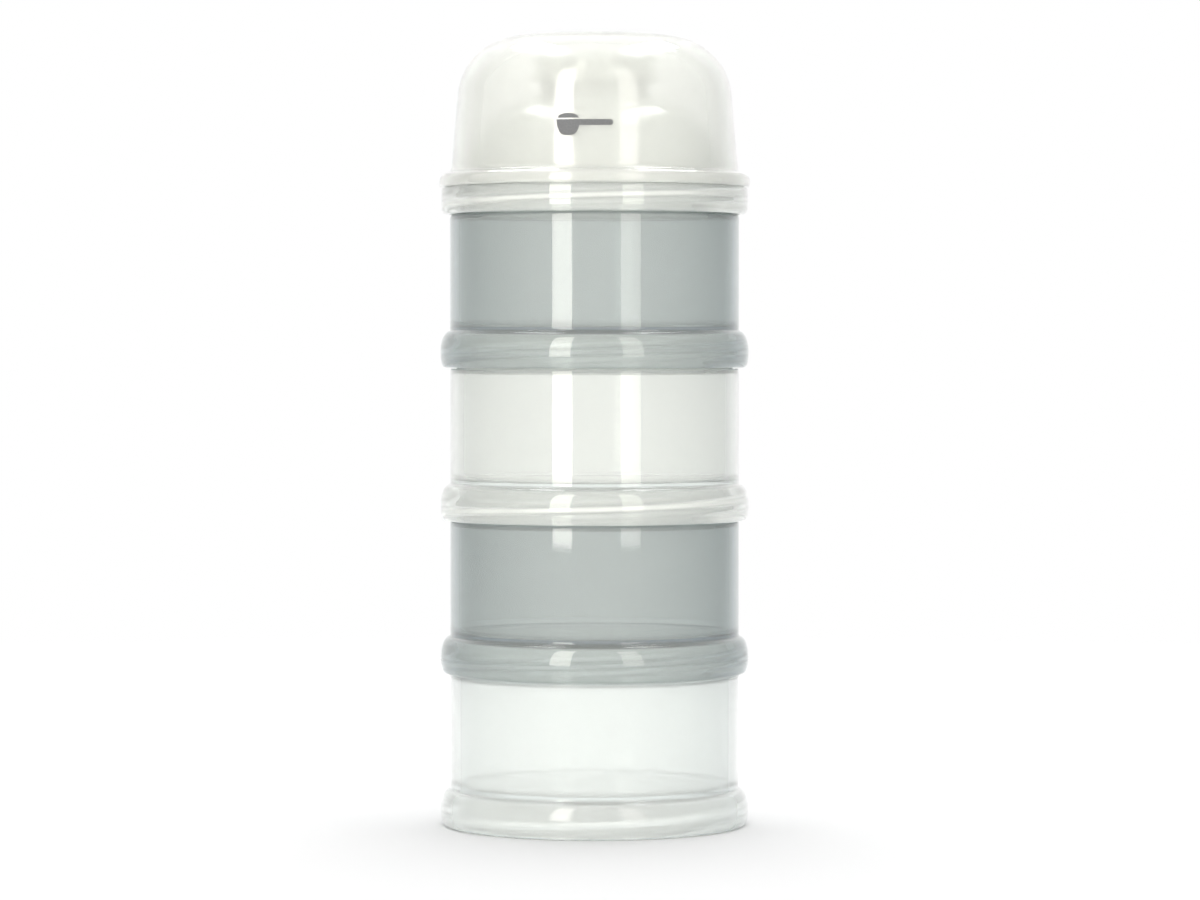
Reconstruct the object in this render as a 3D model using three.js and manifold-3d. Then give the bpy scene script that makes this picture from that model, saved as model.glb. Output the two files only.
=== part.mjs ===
// Stacking formula dispenser: four screw-together powder compartments, a pouring funnel with a
// press-on spout cap, and a domed cover. Millimetres, +Z up, origin at the centre of the base rim.
import * as THREE from "three";
import { mergeVertices } from "three/addons/utils/BufferGeometryUtils.js";
import Module from "manifold-3d";

const wasm = await Module();
wasm.setup();

// ---- Driving dimensions ----
const BODY_RADIUS = 40; // outside of a compartment's wall
const BODY_BORE = 37.8; // inside of a compartment's wall
const PITCH = 42.2; // rise from one compartment to the next
const TURN_STEPS = 32; // facets round each shell
const FIT_GAP = 0.3; // between pieces that rest on each other

// Skirt: the bulging ring at the foot of every compartment, threaded inside
const SKIRT_BORE = 40.2;
const SKIRT_TOP = 10.4; // where the ring meets the compartment's wall
const BULGE_RADIUS = 42.65;
const FLOOR = { underside: 9, top: 11, fillet: 2 };

// Neck that stands inside the skirt above it
const NECK = { outer: 38.1, inner: 36.2, height: FLOOR.underside - FIT_GAP };
const FLARE = { above: 0.6, below: 1.6 }; // where the bore narrows to the neck's, about the shoulder

// Two-start thread shared by every neck and skirt
const STARTS = 2;
const LEAD = 7.2; // rise in a full turn, so that neighbouring ridges lie LEAD / STARTS apart
const TURNS = 0.75; // of each ridge
const RIDGE = { height: 0.9, foot: 2, crest: 0.9, root: 0.3 };
const NECK_RIDGE_START = 1.8; // height of a ridge's centre line where it begins
const SKIRT_RIDGE_START = 1.35;
const NECK_RIDGE_ANGLE = 53; // where a neck's first ridge begins, so that it ends at the front right

// Funnel
const FUNNEL_SKIRT_RADIUS = 42.4;
const LEDGE_HEIGHT = 7.3; // step that the cover's rim closes down to
const COLLAR = { outer: 41.15, bore: 39.4, boreFoot: 7.5, bead: 0.15 };
const DECK_HEIGHT = 10.6; // flat ring that the cover rests on
const BELL = { centreRadius: 13, centreHeight: 9.5, radius: 23.5, wall: 1.8 };
const SPOUT = { outer: 15.2, wall: 1.6, top: 42.2, beadHeight: 39.2, bead: 0.2 };

// Spout cap
const CAP = { radius: 17, bore: 15.6, foot: 36.3, top: 44.2, lid: 1.6 };
const CAP_FLANGE = { radius: 17.6, height: 1.6 };
const CAP_PLUG = { outer: 13.3, inner: 12.1, drop: 2.6 };

// Cover
const COVER_WALL = 2;
const COVER_RIM = { radius: 43.05, bore: 41.45, foot: LEDGE_HEIGHT + FIT_GAP };
const COVER_SEAT = DECK_HEIGHT + FIT_GAP; // inside step that rests on the funnel's deck
const COVER_SIDE = { radius: 39.6, height: 12.2, draft: 4.5 };
const COVER_CORNER = { centreRadius: 20.45, centreHeight: 31.7, radius: 17.5, end: 84 };
const COVER_CROWN = 50.3;

// ---- Geometry helpers ----
const DEGREES = Math.PI / 180;

/** Points of an elliptical arc as [radius, height]; angles in degrees, radii as [across, up]. */
function arc(centre, [across, up], from, to, steps) {
  return Array.from({ length: steps + 1 }, (_, i) => {
    const angle = (from + ((to - from) * i) / steps) * DEGREES;
    return [centre[0] + across * Math.cos(angle), centre[1] + up * Math.sin(angle)];
  });
}

/** A three.js geometry as a manifold-3d solid. */
function solidOf(geometry) {
  const bare = geometry.clone();
  bare.deleteAttribute("normal");
  bare.deleteAttribute("uv");
  const merged = mergeVertices(bare, 1e-4);
  const mesh = new wasm.Mesh({
    numProp: 3,
    vertProperties: merged.attributes.position.array,
    triVerts: new Uint32Array(merged.index.array),
  });
  return new wasm.Manifold(mesh);
}

/** A manifold-3d solid as a three.js geometry with flat normals. */
function geometryOf(solid) {
  const mesh = solid.getMesh();
  const geometry = new THREE.BufferGeometry();
  geometry.setAttribute("position", new THREE.BufferAttribute(mesh.vertProperties, mesh.numProp));
  geometry.setIndex(new THREE.BufferAttribute(mesh.triVerts, 1));
  const flat = geometry.toNonIndexed();
  flat.computeVertexNormals();
  return flat;
}

/** A closed profile of [radius, height] points, material on its left, turned about Z. */
function turned(profile) {
  const points = profile.map(([radius, height]) => new THREE.Vector2(radius, height));
  const geometry = new THREE.LatheGeometry(points, TURN_STEPS);
  geometry.rotateX(Math.PI / 2);
  return solidOf(geometry);
}

/**
 * One helical ridge with both ends run out. side is +1 for a neck's outside and -1 for a skirt's
 * inside. A straight extrusion of the section is wrapped round the wall.
 */
function threadRidge({ wall, side, from, startAngle }) {
  const { height, foot, crest, root } = RIDGE;
  const corners = [
    [-root, -foot / 2],
    [height, -crest / 2],
    [height, crest / 2],
    [-root, foot / 2],
  ];
  const section = new THREE.Shape(corners.map(([out, up]) => new THREE.Vector2(side * out, up)));
  const steps = TURNS * TURN_STEPS;
  const ridge = new THREE.ExtrudeGeometry(section, { depth: 1, steps, bevelEnabled: false });
  const place = ridge.attributes.position;
  for (let i = 0; i < place.count; i++) {
    const along = place.getZ(i);
    const fullness = Math.min(1, 0.1 + (steps / 2) * Math.min(along, 1 - along));
    const offset = place.getX(i);
    const radius = wall + (side * offset > 0 ? offset * fullness : offset);
    const angle = (startAngle + 360 * TURNS * (1 - along)) * DEGREES;
    const rise = from + LEAD * TURNS * (1 - along);
    place.setXYZ(i, radius * Math.cos(angle), radius * Math.sin(angle), rise + place.getY(i));
  }
  return solidOf(ridge);
}

/** The solid with a ridge of each start joined on, evenly spaced round the wall. */
function threaded(solid, ridge) {
  let made = solid;
  for (let start = 0; start < STARTS; start++) {
    const startAngle = ridge.startAngle + (360 * start) / STARTS;
    made = made.add(threadRidge({ ...ridge, startAngle }));
  }
  return made;
}

// ---- Profiles, each measured from the foot of its own piece ----

function compartmentProfile() {
  const bulge = [BULGE_RADIUS - BODY_RADIUS, SKIRT_TOP - 6];
  const neckTop = PITCH + NECK.height;
  const { fillet } = FLOOR;
  return [
    [0, FLOOR.underside],
    [SKIRT_BORE, FLOOR.underside],
    [SKIRT_BORE, 0],
    ...arc([41.6, 1.1], [0.8, 1.1], -90, -10, 2),
    [BULGE_RADIUS, 3],
    ...arc([BODY_RADIUS, 6], bulge, 0, 82, 3),
    [BODY_RADIUS, SKIRT_TOP],
    [BODY_RADIUS, PITCH - 1],
    [BODY_RADIUS - 0.7, PITCH - 0.3],
    [NECK.outer, PITCH - 0.3],
    [NECK.outer, neckTop - 0.4],
    [NECK.outer - 0.4, neckTop],
    [NECK.inner, neckTop],
    [NECK.inner, PITCH + FLARE.above],
    [BODY_BORE, PITCH - FLARE.below],
    ...arc([BODY_BORE - fillet, FLOOR.top + fillet], [fillet, fillet], 0, -90, 2),
    [0, FLOOR.top],
  ];
}

function funnelProfile() {
  const { centreRadius, centreHeight, radius, wall } = BELL;
  const centre = [centreRadius, centreHeight];
  const inside = radius - wall;
  const spoutBore = SPOUT.outer - SPOUT.wall;
  const deckAngle = Math.asin((DECK_HEIGHT - centreHeight) / radius) / DEGREES;
  const outerEnd = Math.acos((SPOUT.outer + 0.8 - centreRadius) / radius) / DEGREES;
  const innerEnd = Math.acos((spoutBore - centreRadius) / inside) / DEGREES;
  return [
    [centreRadius + inside, FLOOR.underside],
    [COLLAR.bore, FLOOR.underside],
    [COLLAR.bore, COLLAR.boreFoot],
    [SKIRT_BORE, COLLAR.boreFoot - 0.6],
    [SKIRT_BORE, 0],
    ...arc([41.3, 1.6], [FUNNEL_SKIRT_RADIUS - 41.3, 1.6], -90, 0, 3),
    [FUNNEL_SKIRT_RADIUS, LEDGE_HEIGHT],
    [COLLAR.outer, LEDGE_HEIGHT],
    [COLLAR.outer, LEDGE_HEIGHT + 0.9],
    [COLLAR.outer + COLLAR.bead, LEDGE_HEIGHT + 1.4],
    [COLLAR.outer, LEDGE_HEIGHT + 1.9],
    [COLLAR.outer, DECK_HEIGHT],
    ...arc(centre, [radius, radius], deckAngle, outerEnd, 6),
    [SPOUT.outer, centreHeight + radius + 0.6],
    [SPOUT.outer, SPOUT.beadHeight - 0.7],
    [SPOUT.outer + SPOUT.bead, SPOUT.beadHeight],
    [SPOUT.outer, SPOUT.beadHeight + 0.7],
    [SPOUT.outer, SPOUT.top - 0.5],
    [SPOUT.outer - 0.5, SPOUT.top],
    [spoutBore, SPOUT.top],
    ...arc(centre, [inside, inside], innerEnd, 0, 6),
    [centreRadius + inside, FLOOR.underside],
  ];
}

function spoutCapProfile() {
  const ceiling = CAP.top - CAP.lid;
  return [
    [0, ceiling],
    [CAP_PLUG.inner, ceiling],
    [CAP_PLUG.inner + 0.2, ceiling - CAP_PLUG.drop],
    [CAP_PLUG.outer - 0.4, ceiling - CAP_PLUG.drop],
    [CAP_PLUG.outer, ceiling - CAP_PLUG.drop + 0.5],
    [CAP_PLUG.outer, ceiling],
    [CAP.bore, ceiling],
    [CAP.bore, CAP.foot],
    [CAP_FLANGE.radius - 0.4, CAP.foot],
    [CAP_FLANGE.radius, CAP.foot + 0.4],
    [CAP_FLANGE.radius, CAP.foot + CAP_FLANGE.height - 0.4],
    [CAP.radius, CAP.foot + CAP_FLANGE.height],
    ...arc([CAP.radius - 1.4, CAP.top - 1.4], [1.4, 1.4], 0, 90, 3),
    [0, CAP.top],
  ];
}

function coverProfile() {
  const { centreRadius, centreHeight, radius, end } = COVER_CORNER;
  const centre = [centreRadius, centreHeight];
  const inside = radius - COVER_WALL;
  const insideFoot = COVER_SIDE.radius - COVER_WALL;
  const shoulder = [COVER_RIM.radius - COVER_SIDE.radius, COVER_SIDE.height - 8.8];
  return [
    [0, COVER_CROWN - COVER_WALL],
    ...arc(centre, [inside, inside], end, COVER_SIDE.draft, 5),
    [insideFoot, COVER_SIDE.height],
    [insideFoot + 0.5, COVER_SEAT],
    [COVER_RIM.bore, COVER_SEAT],
    [COVER_RIM.bore, COVER_RIM.foot],
    [COVER_RIM.radius - 0.5, COVER_RIM.foot],
    [COVER_RIM.radius, COVER_RIM.foot + 0.6],
    ...arc([COVER_SIDE.radius, 8.8], shoulder, 0, 75, 3),
    [COVER_SIDE.radius, COVER_SIDE.height + 0.3],
    ...arc(centre, [radius, radius], COVER_SIDE.draft, end, 6),
    [0, COVER_CROWN],
  ];
}

// ---- Materials ----
function plastic(color, opacity) {
  return new THREE.MeshStandardMaterial({ color, opacity, transparent: true, roughness: 0.12 });
}
const CLEAR = plastic(0xe8ece6, 0.5);
const GREY = plastic(0xa9b4b6, 0.65);

// ---- Assembly ----
const neckRidge = {
  wall: NECK.outer,
  side: 1,
  from: PITCH + NECK_RIDGE_START,
  startAngle: NECK_RIDGE_ANGLE,
};
// The skirt's ridges run midway between the neck's.
const skirtLag = ((SKIRT_RIDGE_START - NECK_RIDGE_START + LEAD / STARTS / 2) / LEAD) * 360;
const skirtRidge = {
  wall: SKIRT_BORE,
  side: -1,
  from: SKIRT_RIDGE_START,
  startAngle: NECK_RIDGE_ANGLE + skirtLag,
};
const compartment = threaded(threaded(turned(compartmentProfile()), neckRidge), skirtRidge);
const funnel = threaded(turned(funnelProfile()), skirtRidge);

const dispenser = new THREE.Group();
dispenser.name = "formula_dispenser";

function addPiece(name, solid, material, height) {
  const mesh = new THREE.Mesh(geometryOf(solid), material);
  mesh.name = name;
  mesh.position.z = height;
  dispenser.add(mesh);
}

addPiece("bottom_compartment", compartment, CLEAR, 0);
addPiece("lower_compartment", compartment, GREY, PITCH);
addPiece("upper_compartment", compartment, CLEAR, 2 * PITCH);
addPiece("top_compartment", compartment, GREY, 3 * PITCH);
addPiece("pouring_funnel", funnel, CLEAR, 4 * PITCH);
addPiece("spout_cap", turned(spoutCapProfile()), CLEAR, 4 * PITCH);
addPiece("dome_cover", turned(coverProfile()), CLEAR, 4 * PITCH);

export default dispenser;
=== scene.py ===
"""Looks for the stacking formula dispenser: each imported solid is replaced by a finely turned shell."""

import math

import bmesh
import bpy
import numpy as np
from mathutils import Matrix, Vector


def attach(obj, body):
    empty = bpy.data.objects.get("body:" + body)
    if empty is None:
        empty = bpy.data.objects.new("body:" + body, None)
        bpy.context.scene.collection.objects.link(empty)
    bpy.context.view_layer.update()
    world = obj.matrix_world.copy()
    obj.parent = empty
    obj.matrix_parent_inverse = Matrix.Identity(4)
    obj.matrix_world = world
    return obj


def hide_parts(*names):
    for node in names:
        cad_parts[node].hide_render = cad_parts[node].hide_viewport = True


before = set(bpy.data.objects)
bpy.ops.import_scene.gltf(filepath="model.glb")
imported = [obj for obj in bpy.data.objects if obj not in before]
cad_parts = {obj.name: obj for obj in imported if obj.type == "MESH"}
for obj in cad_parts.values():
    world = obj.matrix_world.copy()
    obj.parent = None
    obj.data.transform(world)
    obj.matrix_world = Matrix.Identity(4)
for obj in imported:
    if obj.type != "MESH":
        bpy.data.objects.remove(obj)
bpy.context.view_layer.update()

# ---- Driving dimensions, in millimetres; heights inside a piece start at its own foot ----
BODY_RADIUS = 40.0  # outside of a compartment's wall
BODY_BORE = 37.8  # inside of it
PITCH = 42.2  # rise from one compartment to the next
FUNNEL_FOOT = 4 * PITCH
FIT_GAP = 0.3  # between pieces that rest on each other

# Skirt: the bulging ring at the foot of every compartment, threaded inside
SKIRT_BORE = 40.2
FOOT_EDGE = 41.5  # outer edge of the flat that a ring stands on
RING_RADIUS = 42.65
RING_WIDEST = 3.5  # height at which the ring is first at its widest
RING_SHOULDER = (39.9, 4.6)  # centre of the arc over the ring, as (radius, height)
RING_TOP = 10.15
RING_END = 76  # degrees, where that arc runs into the hollow under the wall
WALL_FOOT = 10.55  # where the ring meets the compartment's wall
FLOOR_UNDERSIDE = 9.0
FLOOR_TOP = 11.0

# Neck that stands inside the skirt above it
NECK_OUTER = 38.1
NECK_INNER = 36.2
NECK_TOP = PITCH + FLOOR_UNDERSIDE - FIT_GAP
FLARE_BELOW = 1.6  # the bore narrows to the neck's from this far below PITCH
FLARE_ABOVE = 0.6  # to this far above it

# Two-start thread shared by every neck and skirt
STARTS = 2
LEAD = 7.2  # rise in a full turn
TURNS = 0.75  # of each ridge
RUN_OUT = math.radians(30)  # angle that the slope at each end of a ridge takes up
RIDGE_HEIGHT = 0.9
RIDGE_FOOT = 2.8  # width of a ridge at the wall
RIDGE_CREST = 0.4  # width of its top
NECK_RIDGE_START = PITCH + 1.8  # height of a ridge's centre line where it begins
SKIRT_RIDGE_START = 1.35
NECK_RIDGE_ANGLE = math.radians(53)

# Funnel
FUNNEL_SKIRT_RADIUS = 42.4
FUNNEL_FOOT_ROUND = (1.4, 1.8)  # across and up
SOCKET_TOP = 6.9  # end of the threaded bore, which narrows from here to the collar's
LEDGE_HEIGHT = 7.3  # step that the cover's rim closes down to
COLLAR_RADIUS = 41.15
COLLAR_BORE = 39.4
COLLAR_BORE_FOOT = 7.5
COLLAR_BEAD = 8.7  # height of the bead that holds the cover
DECK_HEIGHT = 10.6  # flat ring that the cover rests on
BELL_CENTRE = (13.0, 9.5)
BELL_RADIUS = 23.5
BELL_WALL = 1.8
SPOUT_OUTER = 15.2
SPOUT_BORE = 13.6
SPOUT_TOP = 42.2
SPOUT_ROOT = 0.8  # distance from the spout at which the bell's arc gives way to a fillet
SPOUT_BEAD = 39.2
BEAD_STEP = 0.3  # height between the points of a bead

# Spout cap
CAP_RADIUS = 17.0
CAP_BORE = 15.6
CAP_FOOT = 36.3
CAP_TOP = 44.2
CAP_LID = 1.6  # thickness
FLANGE_RADIUS = 17.6
FLANGE_HEIGHT = 1.6
PLUG_OUTER = 13.3
PLUG_INNER = 12.1
PLUG_TAPER = 0.2
PLUG_DROP = 2.6

# Cover
COVER_WALL = 2.0
RIM_RADIUS = 43.05
RIM_BORE = 41.45
RIM_FOOT = LEDGE_HEIGHT + FIT_GAP
RIM_EDGE = 42.55  # outer edge of the flat under the rim
RIM_SHOULDER = (41.0, 9.1)  # centre of the arc over the rim
RIM_TOP = 11.3
COVER_SEAT = DECK_HEIGHT + FIT_GAP  # inside step that rests on the funnel's deck
SEAT_BORE = 38.1
COVER_BORE_FOOT = (37.6, 12.4)  # where the wall's inside starts to widen down to the seat
COVER_WALL_FOOT = (39.6, 13.5)
HOLLOW_WIDTH = 1.7  # of the hollow curve from the rim up to the wall
COVER_CENTRE = (20.45, 31.7)  # of the corner's arc
COVER_CORNER = 17.5
COVER_DRAFT = 4.5  # degrees, where the wall meets the corner's arc
CORNER_END = 82  # degrees, where the corner's arc meets the crown
COVER_CROWN = 50.3
# How far the crown has dropped at a radius, as (radius, drop inside, drop outside)
CROWN_DROPS = ((6, 0.05, 0.03), (11, 0.2, 0.16), (16, 0.5, 0.45), (20, 0.95, 0.88))
COVER_WALL_HEAD = (
    COVER_CENTRE[0] + COVER_CORNER * math.cos(math.radians(COVER_DRAFT)),
    COVER_CENTRE[1] + COVER_CORNER * math.sin(math.radians(COVER_DRAFT)),
)

# ---- Fineness of the shells ----
SEGMENTS = 180  # facets round every shell
NECK_HIGHLIGHT_SHARE = 0.5  # share of a crest's haze, a painted highlight, that the wall of a neck has between its ridges, where it paints the rings lighter
THREAD_ROW = 0.14  # height of one row of faces on a threaded wall
SUPPORT = 0.2  # distance of the holding rows from a corner
FILLET_STEP = math.radians(15)  # turn of one face of a fillet
TOUCH = 1e-4  # distance below which a point is on a wall or on the axis


# ---- Profiles ----
def arc(centre, radii, start, end, steps):
    """Points of an elliptical arc as (radius, height, fillet 0); angles in degrees."""
    across, up = radii if isinstance(radii, tuple) else (radii, radii)
    angles = np.radians(np.linspace(start, end, steps + 1))
    return [(centre[0] + across * math.cos(a), centre[1] + up * math.sin(a), 0.0) for a in angles]


def bead(radius, height, crest, flank):
    """Points of a shallow bead round a wall, which stands out by crest at its middle."""
    rises = (0, flank, crest, flank, 0)
    return [(radius + rise, height + BEAD_STEP * (k - 2), 0) for k, rise in enumerate(rises)]


def rounded(corners, closed):
    """Replaces each (radius, height, fillet) corner by an arc and adds holding rows beside it."""
    points = [Vector(c[:2]) for c in corners]
    count = len(points)
    made = []
    for i, corner in enumerate(corners):
        here = points[i]
        fillet = corner[2]
        at_end = not closed and i in (0, count - 1)
        if fillet == 0 or at_end:
            made.append(here)
            continue
        before = (points[i - 1] - here).normalized()
        after = (points[(i + 1) % count] - here).normalized()
        half = before.angle(after) / 2
        reach = fillet / math.tan(half)
        centre = here + (before + after).normalized() * (fillet / math.sin(half))
        first = here + before * reach
        last = here + after * reach
        turn = (first - centre).angle(last - centre)
        steps = max(3, round((math.pi - 2 * half) / FILLET_STEP))
        made.append(first + before * SUPPORT)
        for k in range(steps + 1):
            fore = math.sin((1 - k / steps) * turn)
            aft = math.sin(k / steps * turn)
            spoke = ((first - centre) * fore + (last - centre) * aft) / math.sin(turn)
            made.append(centre + spoke)
        made.append(last + after * SUPPORT)
    return made


def ladder(points, low, high, radius):
    """Splits the straight wall at this radius between two heights into rows fine enough for a thread."""
    made = []
    count = len(points)
    for i, here in enumerate(points):
        made.append(here)
        there = points[(i + 1) % count]
        on_wall = abs(here.x - radius) < TOUCH and abs(there.x - radius) < TOUCH
        inside = max(here.y, there.y) <= high + TOUCH and min(here.y, there.y) >= low - TOUCH
        rows = int(abs(there.y - here.y) / THREAD_ROW)
        if on_wall and inside and rows > 1:
            made += [here.lerp(there, k / rows) for k in range(1, rows)]
    return made


def ridge_height(angle, height, start, start_angle):
    """How far the thread stands off its wall at an angle (radians) and a height."""
    best = np.zeros_like(angle)
    length = 2 * math.pi * TURNS
    for ridge in range(STARTS):
        travelled = np.mod(angle - start_angle - 2 * math.pi * ridge / STARTS, 2 * math.pi)
        centre = start + LEAD * travelled / (2 * math.pi)
        aside = np.abs(height - centre)
        flank = np.clip((RIDGE_FOOT / 2 - aside) / (RIDGE_FOOT / 2 - RIDGE_CREST / 2), 0, 1)
        flank = flank * flank * (3 - 2 * flank)
        run_out = np.clip(np.minimum(travelled, length - travelled) / RUN_OUT, 0, 1)
        run_out = run_out * run_out * (3 - 2 * run_out)
        best = np.maximum(best, flank * run_out)
    return RIDGE_HEIGHT * best


def turned(name, points, foot, closed, threads=()):
    """A shell of revolution. threads holds (wall radius, side, start height, start angle) rows; side
    is 1 for a neck's outside and -1 for a skirt's inside. A per-point attribute of painted highlight
    is 0 on a plain wall, 1 on the crest of a ridge and a set part of that between the ridges of a neck;
    the haze it raises paints the ridges' highlights as white lines and paints the necks lighter."""
    angle = np.linspace(0, 2 * math.pi, SEGMENTS, endpoint=False)
    coordinates = []
    painted_highlight = []
    rings = []
    for point in points:
        if point.x < TOUCH:
            rings.append([len(coordinates)])
            coordinates.append((0.0, 0.0, point.y))
            painted_highlight.append(0.0)
            continue
        radius = np.full(SEGMENTS, point.x)
        highlight_paint = np.zeros(SEGMENTS)
        for wall, side, start, start_angle in threads:
            if abs(point.x - wall) < TOUCH:
                ridge = ridge_height(angle, point.y, start, start_angle)
                radius += side * ridge
                # The haze on a crest is a painted highlight; between a neck's ridges it paints the wall
                # lighter.
                unpainted = 1 - NECK_HIGHLIGHT_SHARE if side > 0 else 1
                highlight_paint = 1 - unpainted * (1 - (ridge / RIDGE_HEIGHT) ** 3)
        painted_highlight += list(highlight_paint)
        rings.append(list(range(len(coordinates), len(coordinates) + SEGMENTS)))
        coordinates += zip(radius * np.cos(angle), radius * np.sin(angle), np.full(SEGMENTS, point.y))
    pairs = list(zip(rings, rings[1:]))
    if closed:
        pairs.append((rings[-1], rings[0]))
    faces = []
    for a, b in pairs:
        for k in range(SEGMENTS):
            n = (k + 1) % SEGMENTS
            if len(a) == 1:
                faces.append((a[0], b[n], b[k]))
            elif len(b) == 1:
                faces.append((a[k], a[n], b[0]))
            else:
                faces.append((a[k], a[n], b[n], b[k]))
    mesh = bpy.data.meshes.new(name)
    placed = [(x / 1000, y / 1000, (z + foot) / 1000) for x, y, z in coordinates]
    mesh.from_pydata(placed, [], faces)
    mesh.polygons.foreach_set("use_smooth", [True] * len(mesh.polygons))
    mesh.attributes.new("painted_highlight", "FLOAT", "POINT").data.foreach_set("value", painted_highlight)
    mesh.update()
    piece = bpy.data.objects.new(name, mesh)
    bpy.context.scene.collection.objects.link(piece)
    return piece


def compartment_points():
    over_ring = (RING_RADIUS - RING_SHOULDER[0], RING_TOP - RING_SHOULDER[1])
    corners = [
        (0, FLOOR_UNDERSIDE, 0),
        (SKIRT_BORE, FLOOR_UNDERSIDE, 0.35),
        (SKIRT_BORE, 0, 0.25),
        *arc((FOOT_EDGE, RING_WIDEST), (RING_RADIUS - FOOT_EDGE, RING_WIDEST), -90, 0, 8),
        *arc(RING_SHOULDER, over_ring, 0, RING_END, 9),
        (BODY_RADIUS + 0.12, WALL_FOOT - 0.35, 0),
        (BODY_RADIUS, WALL_FOOT, 0),
        (BODY_RADIUS, WALL_FOOT + 0.35, 0),
        (BODY_RADIUS, PITCH - FIT_GAP, 0.6),
        (NECK_OUTER, PITCH - FIT_GAP, 0.25),
        (NECK_OUTER, NECK_TOP, 0.5),
        (NECK_INNER, NECK_TOP, 0.5),
        (NECK_INNER, PITCH + FLARE_ABOVE, 0.8),
        (BODY_BORE, PITCH - FLARE_BELOW, 0.8),
        (BODY_BORE, FLOOR_TOP, 2.0),
        (0, FLOOR_TOP, 0),
    ]
    points = rounded(corners, closed=False)
    points = ladder(points, 0, FLOOR_UNDERSIDE, SKIRT_BORE)
    return ladder(points, PITCH, NECK_TOP, NECK_OUTER)


def funnel_points():
    inside = BELL_RADIUS - BELL_WALL
    bell_top = BELL_CENTRE[1] + BELL_RADIUS
    deck_angle = math.degrees(math.asin((DECK_HEIGHT - BELL_CENTRE[1]) / BELL_RADIUS))
    outer_end = math.degrees(math.acos((SPOUT_OUTER + SPOUT_ROOT - BELL_CENTRE[0]) / BELL_RADIUS))
    inner_end = math.degrees(math.acos((SPOUT_BORE - BELL_CENTRE[0]) / inside))
    across, up = FUNNEL_FOOT_ROUND
    corners = [
        (BELL_CENTRE[0] + inside, FLOOR_UNDERSIDE, 0.4),
        (COLLAR_BORE, FLOOR_UNDERSIDE, 0.3),
        (COLLAR_BORE, COLLAR_BORE_FOOT, 0),
        (SKIRT_BORE, SOCKET_TOP, 0),
        (SKIRT_BORE, 0, 0.25),
        *arc((FUNNEL_SKIRT_RADIUS - across, up), FUNNEL_FOOT_ROUND, -90, 0, 8),
        (FUNNEL_SKIRT_RADIUS, up + 0.5, 0),
        (FUNNEL_SKIRT_RADIUS, LEDGE_HEIGHT, 0.3),
        (COLLAR_RADIUS, LEDGE_HEIGHT, 0.15),
        *bead(COLLAR_RADIUS, COLLAR_BEAD, 0.15, 0.1),
        (COLLAR_RADIUS, DECK_HEIGHT, 0.3),
        *arc(BELL_CENTRE, BELL_RADIUS, deck_angle, outer_end, 28),
        (SPOUT_OUTER + 0.25, bell_top - 0.05, 0),
        (SPOUT_OUTER, bell_top + 0.5, 0),
        (SPOUT_OUTER, bell_top + 0.9, 0),
        *bead(SPOUT_OUTER, SPOUT_BEAD, 0.2, 0.14),
        (SPOUT_OUTER, SPOUT_TOP, 0.5),
        (SPOUT_BORE, SPOUT_TOP, 0.4),
        *arc(BELL_CENTRE, inside, inner_end, 0, 28),
    ]
    return ladder(rounded(corners, closed=True), 0, SOCKET_TOP, SKIRT_BORE)


def spout_cap_points():
    ceiling = CAP_TOP - CAP_LID
    plug_foot = ceiling - PLUG_DROP
    flange_top = CAP_FOOT + FLANGE_HEIGHT
    corners = [
        (0, ceiling, 0),
        (PLUG_INNER, ceiling, 0.4),
        (PLUG_INNER + PLUG_TAPER, plug_foot, 0.3),
        (PLUG_OUTER, plug_foot, 0.45),
        (PLUG_OUTER, ceiling, 0.3),
        (CAP_BORE, ceiling, 0.3),
        (CAP_BORE, CAP_FOOT, 0.25),
        (FLANGE_RADIUS, CAP_FOOT, 0.35),
        (FLANGE_RADIUS, flange_top, 0.35),
        (CAP_RADIUS, flange_top, 0.2),
        (CAP_RADIUS, CAP_TOP, 1.4),
        (0, CAP_TOP, 0),
    ]
    return rounded(corners, closed=False)


def cover_points():
    ceiling = COVER_CROWN - COVER_WALL
    over_rim = (RIM_RADIUS - RIM_SHOULDER[0], RIM_TOP - RIM_SHOULDER[1])
    hollow = (HOLLOW_WIDTH, COVER_WALL_FOOT[1] - RIM_TOP)
    corners = [
        (0, ceiling, 0),
        *[(radius, ceiling - drop, 0) for radius, drop, _ in CROWN_DROPS],
        *arc(COVER_CENTRE, COVER_CORNER - COVER_WALL, CORNER_END, COVER_DRAFT, 22),
        (*COVER_BORE_FOOT, 0.6),
        (SEAT_BORE, COVER_SEAT, 0.3),
        (RIM_BORE, COVER_SEAT, 0.4),
        (RIM_BORE, RIM_FOOT, 0.25),
        *arc((RIM_EDGE, RIM_FOOT + 1), (RIM_RADIUS - RIM_EDGE, 1), -90, 0, 5),
        *arc(RIM_SHOULDER, over_rim, 0, 88, 8),
        *arc((COVER_WALL_FOOT[0] + HOLLOW_WIDTH, COVER_WALL_FOOT[1]), hollow, 260, 180, 6),
        *arc(COVER_CENTRE, COVER_CORNER, COVER_DRAFT, CORNER_END, 26),
        *[(radius, COVER_CROWN - drop, 0) for radius, _, drop in reversed(CROWN_DROPS)],
        (0, COVER_CROWN, 0),
    ]
    return rounded(corners, closed=False)


# ---- Materials ----
BODY_IOR = 1.2  # of the body under the skin: lower than real, so that threads stay soft lines
SKIN_IOR = 1.3
SKIN_ROUGHNESS = 0.03
RIPPLE_SCALE = 30  # ripples of the skin in a metre
RIPPLE_STRENGTH = 0.04
RIPPLE_DEPTH = 0.0004  # in metres
BLUR_SPREAD = 0.15  # share by which the body's blur changes with the ripples
GRAIN_SCALE = 2500  # pinholes of the ink in a metre
CLEAR_SKIN = (1, 1, 1)
CLEAR_BODY = (2, 1, 1)  # absorption per metre


def socket(shader, name, value):
    shader.inputs[name].default_value = value


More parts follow.
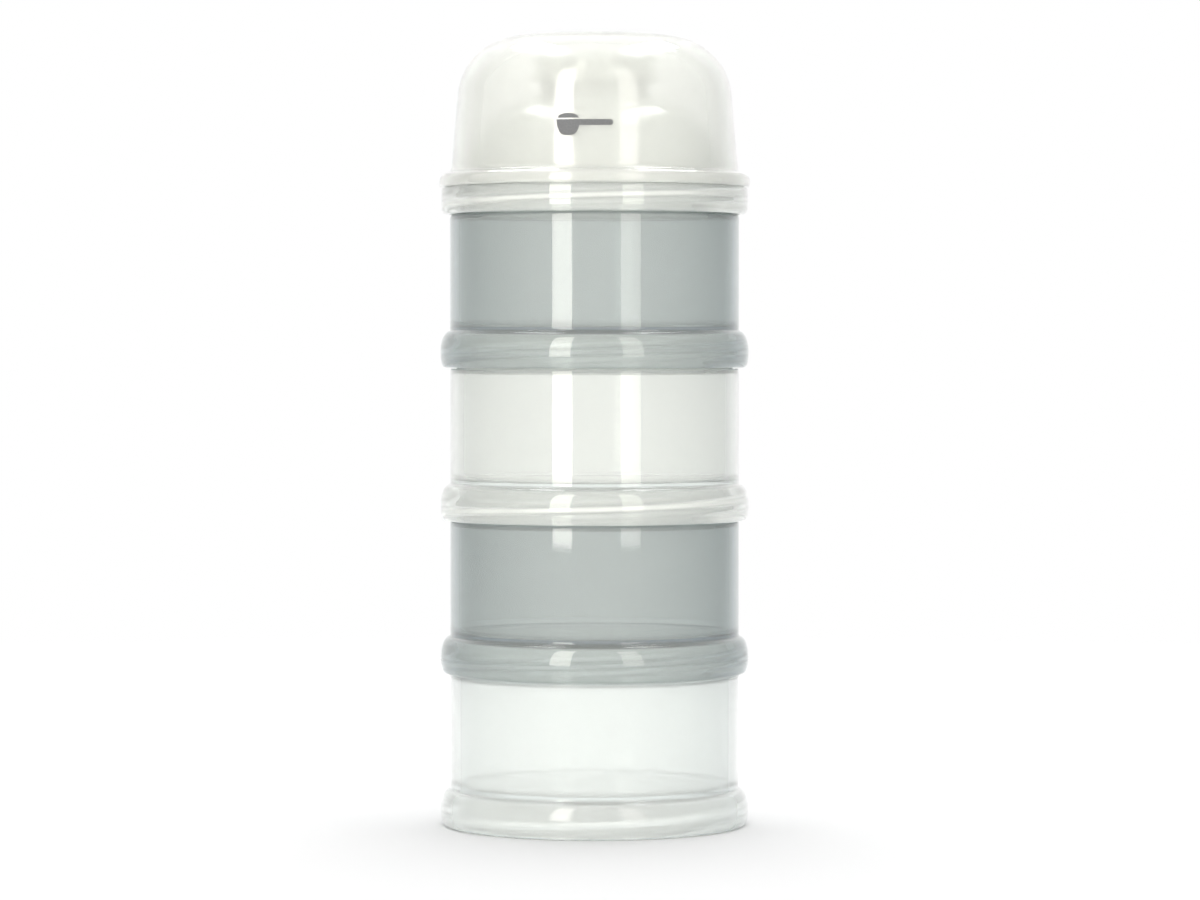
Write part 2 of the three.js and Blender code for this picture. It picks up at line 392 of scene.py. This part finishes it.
def plastic(name, base, skin, absorbed, haze, crest_highlight_haze, blur):
    """Moulded polypropylene: a clear body that takes absorbed (per metre, for red, green and blue)
    from the light that crosses it, a glossy skin that takes a little more, and a milky haze, which
    goes from haze on a plain wall to the crest value as a shell's painted highlight share goes from 0 to
    1; that raised haze paints highlights on the thread crests and paints the necks lighter."""
    material = bpy.data.materials.new(name)
    material.use_nodes = True
    nodes = material.node_tree.nodes
    links = material.node_tree.links
    shader = nodes["Principled BSDF"]
    socket(shader, "Base Color", (*base, 1))
    socket(shader, "IOR", BODY_IOR)
    socket(shader, "Coat Weight", 1.0)
    socket(shader, "Coat Roughness", SKIN_ROUGHNESS)
    socket(shader, "Coat IOR", SKIN_IOR)
    socket(shader, "Coat Tint", (*skin, 1))
    shape = nodes.new("ShaderNodeTexCoord")
    ripple = nodes.new("ShaderNodeTexNoise")
    socket(ripple, "Scale", RIPPLE_SCALE)
    socket(ripple, "Detail", 1)
    links.new(shape.outputs["Object"], ripple.inputs["Vector"])
    bump = nodes.new("ShaderNodeBump")
    socket(bump, "Strength", RIPPLE_STRENGTH)
    socket(bump, "Distance", RIPPLE_DEPTH)
    links.new(ripple.outputs["Fac"], bump.inputs["Height"])
    links.new(bump.outputs["Normal"], shader.inputs["Coat Normal"])
    polish = nodes.new("ShaderNodeMapRange")
    socket(polish, "To Min", blur * (1 - BLUR_SPREAD))
    socket(polish, "To Max", blur * (1 + BLUR_SPREAD))
    links.new(ripple.outputs["Fac"], polish.inputs["Value"])
    links.new(polish.outputs["Result"], shader.inputs["Roughness"])
    # Painted highlight: the haze rises with the shell's per-point share, so thread crests show as white
    # lines and neck walls look lighter.
    highlight_paint = nodes.new("ShaderNodeAttribute")
    highlight_paint.attribute_name = "painted_highlight"
    clarity = nodes.new("ShaderNodeMapRange")
    socket(clarity, "To Min", 1 - haze)
    socket(clarity, "To Max", 1 - crest_highlight_haze)
    links.new(highlight_paint.outputs["Fac"], clarity.inputs["Value"])
    links.new(clarity.outputs["Result"], shader.inputs["Transmission Weight"])
    density = max(absorbed)
    absorb = nodes.new("ShaderNodeVolumeAbsorption")
    socket(absorb, "Color", (*(1 - a / density for a in absorbed), 1))
    socket(absorb, "Density", density)
    links.new(absorb.outputs["Volume"], nodes["Material Output"].inputs["Volume"])
    return material


def ink(name, colour):
    """Screen-printing ink: matt, with pinholes and thin spots of a fraction of a millimetre."""
    material = bpy.data.materials.new(name)
    material.use_nodes = True
    nodes = material.node_tree.nodes
    links = material.node_tree.links
    shader = nodes["Principled BSDF"]
    socket(shader, "Roughness", 0.55)
    socket(shader, "Specular IOR Level", 0.25)
    shape = nodes.new("ShaderNodeTexCoord")
    grain = nodes.new("ShaderNodeTexNoise")
    socket(grain, "Scale", GRAIN_SCALE)
    links.new(shape.outputs["Object"], grain.inputs["Vector"])
    cover = nodes.new("ShaderNodeValToRGB")
    cover.color_ramp.elements[0].color = (*(c * 1.25 for c in colour), 1)
    cover.color_ramp.elements[1].color = (*(c * 0.85 for c in colour), 1)
    links.new(grain.outputs["Fac"], cover.inputs["Fac"])
    links.new(cover.outputs["Color"], shader.inputs["Base Color"])
    return material


clear_plastic = plastic(
    "clear_plastic",
    base=(0.93, 0.95, 0.93),
    skin=CLEAR_SKIN,
    absorbed=CLEAR_BODY,
    haze=0.25,
    crest_highlight_haze=1.0,
    blur=0.04,
)
milky_plastic = plastic(
    "milky_plastic",
    base=(0.945, 0.975, 0.965),
    skin=CLEAR_SKIN,
    absorbed=CLEAR_BODY,
    haze=0.31,
    crest_highlight_haze=0.8,
    blur=0.08,
)
cover_plastic = plastic(
    "cover_plastic",
    base=(0.965, 0.975, 0.95),
    skin=CLEAR_SKIN,
    absorbed=CLEAR_BODY,
    haze=0.27,
    crest_highlight_haze=0.27,
    blur=0.07,
)
grey_plastic = plastic(
    "grey_plastic",
    base=(0.93, 0.94, 0.92),
    skin=(0.837, 0.861, 0.864),
    absorbed=(27, 21.5, 17.5),
    haze=0.22,
    crest_highlight_haze=0.5,
    blur=0.03,
)
CLEAR_SLOT = "clear_plastic"
GREY_SLOT = "grey_plastic"


# ---- Pieces ----
def finish_piece(piece, node, material):
    piece.data.materials.append(material)
    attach(piece, node)
    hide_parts(node)


# The skirt's ridges run midway between the neck's.
skirt_rise = SKIRT_RIDGE_START - (NECK_RIDGE_START - PITCH) + LEAD / STARTS / 2
skirt_lag = math.radians(skirt_rise / LEAD * 360)
neck_thread = (NECK_OUTER, 1, NECK_RIDGE_START, NECK_RIDGE_ANGLE)
skirt_thread = (SKIRT_BORE, -1, SKIRT_RIDGE_START, NECK_RIDGE_ANGLE + skirt_lag)
tiers = [
    ("bottom", milky_plastic, CLEAR_SLOT),
    ("lower", grey_plastic, GREY_SLOT),
    ("upper", clear_plastic, CLEAR_SLOT),
    ("top", grey_plastic, GREY_SLOT),
]
for level, (tier, material, slot) in enumerate(tiers):
    shell = turned(
        f"{tier}_tier",
        compartment_points(),
        level * PITCH,
        closed=False,
        threads=(neck_thread, skirt_thread),
    )
    finish_piece(shell, f"{tier}_compartment", material)

funnel = turned("bell_funnel", funnel_points(), FUNNEL_FOOT, closed=True, threads=(skirt_thread,))
finish_piece(funnel, "pouring_funnel", clear_plastic)
cap = turned("spout_closure", spout_cap_points(), FUNNEL_FOOT, closed=False)
finish_piece(cap, "spout_cap", clear_plastic)
cover = turned("cover_shell", cover_points(), FUNNEL_FOOT, closed=False)
finish_piece(cover, "dome_cover", cover_plastic)

# ---- Printed mark on the cover: a measuring scoop heaped with powder ----
MARK_LEFT = -10.3  # left side of the bowl, along the wall from the cover's front line
MARK_RIM = FUNNEL_FOOT + 24.5  # height of the bowl's rim
MARK_LENGTH = 15.4
BOWL_WIDTH = 6.4
BOWL_DEPTH = 4.3
HANDLE_WIDTH = 1.6
HEAP_HEIGHT = 1.3
HEAP_GAP = 0.4
HEAP_SPREAD = 0.9  # share of the bowl's width that the heap covers
HEAP_COLUMNS = 41
EDGE = 0.12  # least height of a column of ink
COLUMN = 0.1
INK_DEPTH = 0.02  # that the ink bites into the wall and stands proud of it
INK_GREY = (0.13, 0.135, 0.14)


def on_cover(along, height, out):
    """A point beside the cover's wall, along it to the right of its front line."""
    share = (height - FUNNEL_FOOT - COVER_WALL_FOOT[1]) / (COVER_WALL_HEAD[1] - COVER_WALL_FOOT[1])
    radius = COVER_WALL_FOOT[0] + share * (COVER_WALL_HEAD[0] - COVER_WALL_FOOT[0])
    angle = along / radius
    reach = radius + out
    return Vector((reach * math.sin(angle), -reach * math.cos(angle), height)) / 1000


def scoop_columns():
    """(along, low, high) of the bowl and its handle, from left to right."""
    columns = []
    for along in np.arange(0, MARK_LENGTH + COLUMN / 2, COLUMN):
        across = min(1.0, abs(2 * along / BOWL_WIDTH - 1))
        low = -max(EDGE, BOWL_DEPTH * math.sqrt(1 - across**3))
        high = 0.0
        if along > BOWL_WIDTH / 2:
            low = min(low, -HANDLE_WIDTH)
        if along > MARK_LENGTH - HANDLE_WIDTH / 2:
            tail = (along - MARK_LENGTH) / (HANDLE_WIDTH / 2) + 1
            half = max(EDGE, HANDLE_WIDTH * math.sqrt(max(0.0, 1 - tail**2))) / 2
            low = -HANDLE_WIDTH / 2 - half
            high = -HANDLE_WIDTH / 2 + half
        columns.append((MARK_LEFT + along, MARK_RIM + low, MARK_RIM + high))
    return columns


def heap_columns():
    """(along, low, high) of the powder that shows above the rim."""
    columns = []
    for across in np.linspace(-HEAP_SPREAD, HEAP_SPREAD, HEAP_COLUMNS):
        low = MARK_RIM + HEAP_GAP
        high = low + max(EDGE, HEAP_HEIGHT * math.sqrt(1 - (across / HEAP_SPREAD) ** 2))
        columns.append((MARK_LEFT + BOWL_WIDTH * (1 + across) / 2, low, high))
    return columns


def ink_film(mesh, columns):
    """Adds a closed film of ink over the given columns to a bmesh."""
    frames = []
    for along, low, high in columns:
        corners = ((low, INK_DEPTH), (high, INK_DEPTH), (high, -INK_DEPTH), (low, -INK_DEPTH))
        frames.append([mesh.verts.new(on_cover(along, height, out)) for height, out in corners])
    for a, b in zip(frames, frames[1:]):
        for k in range(4):
            n = (k + 1) % 4
            mesh.faces.new((a[k], b[k], b[n], a[n]))
    mesh.faces.new(frames[0])
    mesh.faces.new(list(reversed(frames[-1])))


def printed_scoop(material):
    film = bmesh.new()
    ink_film(film, scoop_columns())
    ink_film(film, heap_columns())
    bmesh.ops.recalc_face_normals(film, faces=film.faces)
    mesh = bpy.data.meshes.new("printed_scoop")
    film.to_mesh(mesh)
    film.free()
    mesh.materials.append(material)
    scoop = bpy.data.objects.new("printed_scoop", mesh)
    bpy.context.scene.collection.objects.link(scoop)
    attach(scoop, "dome_cover")


printed_scoop(ink("grey_ink", INK_GREY))

# ---- Room ----
SIDE_GLOW = 0.33  # brightness of the room's side walls, against the white backdrop
FRONT_GLOW = 0.65  # brightness of the wall behind the camera
RIGHT_GLOW = 0.6  # brightness of the wall on the right
scene = bpy.context.scene
scene.view_settings.view_transform = "Standard"
scene.cycles.max_bounces = 32
scene.cycles.transmission_bounces = 32
scene.cycles.glossy_bounces = 16
scene.cycles.diffuse_bounces = 6

world = bpy.data.worlds.new("studio")
scene.world = world
world.use_nodes = True
world_nodes = world.node_tree.nodes
world_links = world.node_tree.links


def glow(source, start, end, high):
    """Brightness that rises from SIDE_GLOW to high as source goes from start to end."""
    fade = world_nodes.new("ShaderNodeMapRange")
    fade.interpolation_type = "SMOOTHSTEP"
    socket(fade, "From Min", start)
    socket(fade, "From Max", end)
    socket(fade, "To Min", SIDE_GLOW)
    socket(fade, "To Max", high)
    world_links.new(source, fade.inputs["Value"])
    return fade.outputs["Result"]


def largest(first, second):
    pick = world_nodes.new("ShaderNodeMath")
    pick.operation = "MAXIMUM"
    world_links.new(first, pick.inputs[0])
    world_links.new(second, pick.inputs[1])
    return pick.outputs["Value"]


sky = world_nodes["Background"]
socket(sky, "Color", (1, 1, 1, 1))
toward = world_nodes.new("ShaderNodeTexCoord")
split = world_nodes.new("ShaderNodeSeparateXYZ")
world_links.new(toward.outputs["Generated"], split.inputs["Vector"])
seen = world_nodes.new("ShaderNodeLightPath")
walls = [
    glow(split.outputs["Y"], start=0.3, end=0.85, high=1.0),
    glow(split.outputs["Y"], start=-0.3, end=-0.85, high=FRONT_GLOW),
    glow(split.outputs["X"], start=0.3, end=0.9, high=RIGHT_GLOW),
    glow(split.outputs["Z"], start=-0.2, end=-0.55, high=1.0),
]
shown = seen.outputs["Is Camera Ray"]  # the camera itself sees plain white
for wall in walls:
    shown = largest(shown, wall)
world_links.new(shown, sky.inputs["Strength"])

# ---- Floor, in metres ----
# It fades out into the white backdrop, so no horizon shows from any side, and it is clear from
# below, so that the underside can be looked at.
FLOOR_RADIUS = 0.9
FLOOR_SIDES = 72
FADE_START = 0.3
FADE_END = 0.8
FLOOR_WHITE = (0.86, 0.86, 0.86)


def floor_paint():
    material = bpy.data.materials.new("floor_white")
    material.use_nodes = True
    nodes = material.node_tree.nodes
    links = material.node_tree.links
    shader = nodes["Principled BSDF"]
    socket(shader, "Base Color", (*FLOOR_WHITE, 1))
    socket(shader, "Roughness", 0.8)
    place = nodes.new("ShaderNodeTexCoord")
    reach = nodes.new("ShaderNodeVectorMath")
    reach.operation = "LENGTH"
    links.new(place.outputs["Object"], reach.inputs[0])
    vanish = nodes.new("ShaderNodeMapRange")
    vanish.interpolation_type = "SMOOTHSTEP"
    socket(vanish, "From Min", FADE_START)
    socket(vanish, "From Max", FADE_END)
    socket(vanish, "To Min", 1.0)
    socket(vanish, "To Max", 0.0)
    links.new(reach.outputs["Value"], vanish.inputs["Value"])
    facing = nodes.new("ShaderNodeNewGeometry")
    hide = nodes.new("ShaderNodeMath")
    hide.operation = "SUBTRACT"
    hide.use_clamp = True
    links.new(vanish.outputs["Result"], hide.inputs[0])
    links.new(facing.outputs["Backfacing"], hide.inputs[1])
    links.new(hide.outputs["Value"], shader.inputs["Alpha"])
    return material


rim_angles = [2 * math.pi * k / FLOOR_SIDES for k in range(FLOOR_SIDES)]
rim = [(FLOOR_RADIUS * math.cos(a), FLOOR_RADIUS * math.sin(a), 0) for a in rim_angles]
floor_mesh = bpy.data.meshes.new("floor")
floor_mesh.from_pydata(rim, [], [tuple(range(FLOOR_SIDES))])
floor_mesh.materials.append(floor_paint())
floor = bpy.data.objects.new("floor", floor_mesh)
scene.collection.objects.link(floor)

# ---- Softboxes, in metres ----
STRIP_WIDTH = 0.33
STRIP_FOOT = 0.0235
STRIP_HEAD = 1.4
STRIP_DISTANCE = 1.2
STRIP_COLOUR = (1.0, 0.955, 0.89)
OVERHEAD_SIZE = (0.3, 1.3)
OVERHEAD_PLACE = (0.55, 0.5, 1.5)  # of the right one
OVERHEAD_TURN = math.radians(10)
OVERHEAD_RADIANCE = 12.0
FLOOR_LIGHT_SIZE = (2.2, 2.2)
FLOOR_LIGHT_PLACE = (0, 0.5, 1.4)
FLOOR_LIGHT_RADIANCE = 1.95

above_floor = bpy.data.collections.new("above_floor")  # what the strips and overheads light
above_floor.objects.link(floor)
above_floor.collection_objects[0].light_linking.link_state = "EXCLUDE"
floor_only = bpy.data.collections.new("floor_only")
floor_only.objects.link(floor)


def softbox(name, size, radiance, place, turn, receivers):
    """A rectangular lamp that the camera doesn't see and that lights one collection only."""
    lamp = bpy.data.lights.new(name, "AREA")
    lamp.shape = "RECTANGLE"
    lamp.size = size[0]
    lamp.size_y = size[1]
    lamp.energy = radiance * math.pi * size[0] * size[1]
    light = bpy.data.objects.new(name, lamp)
    scene.collection.objects.link(light)
    light.location = place
    light.rotation_euler = turn
    light.visible_camera = False
    light.light_linking.receiver_collection = receivers
    return lamp


def strip_light(name, bearing, radiance):
    """An upright softbox seen from the object at a bearing (degrees) from the front, right positive."""
    turn = math.radians(bearing)
    x = STRIP_DISTANCE * math.sin(turn)
    y = -STRIP_DISTANCE * math.cos(turn)
    place = (x, y, (STRIP_FOOT + STRIP_HEAD) / 2)
    size = (STRIP_WIDTH, STRIP_HEAD - STRIP_FOOT)
    lamp = softbox(name, size, radiance, place, (math.pi / 2, 0, turn), above_floor)
    lamp.color = STRIP_COLOUR


def overhead_light(name, side):
    """A long softbox above and behind the object, to one side of it."""
    x, y, z = OVERHEAD_PLACE
    turn = (0, 0, -side * OVERHEAD_TURN)
    softbox(name, OVERHEAD_SIZE, OVERHEAD_RADIANCE, (side * x, y, z), turn, above_floor)


strip_light("left_strip", -25.2, 10.5)
strip_light("right_strip", 28.3, 4.8)
overhead_light("left_overhead", -1)
overhead_light("right_overhead", 1)
# The floor has a light of its own from above and behind, so that the shadow falls forward.
softbox("floor_light", FLOOR_LIGHT_SIZE, FLOOR_LIGHT_RADIANCE, FLOOR_LIGHT_PLACE, (0, 0, 0), floor_only)

# ---- Camera, in metres ----
EYE = (0.0015, -1.2, 0.1342)
EYE_TILT = 1.455  # degrees below level
lens = bpy.data.cameras.new("camera")
lens.lens = 130
lens.sensor_width = 36
camera = bpy.data.objects.new("camera", lens)
camera.location = EYE
camera.rotation_euler = (math.radians(90 - EYE_TILT), 0, 0)
scene.collection.objects.link(camera)
scene.camera = camera
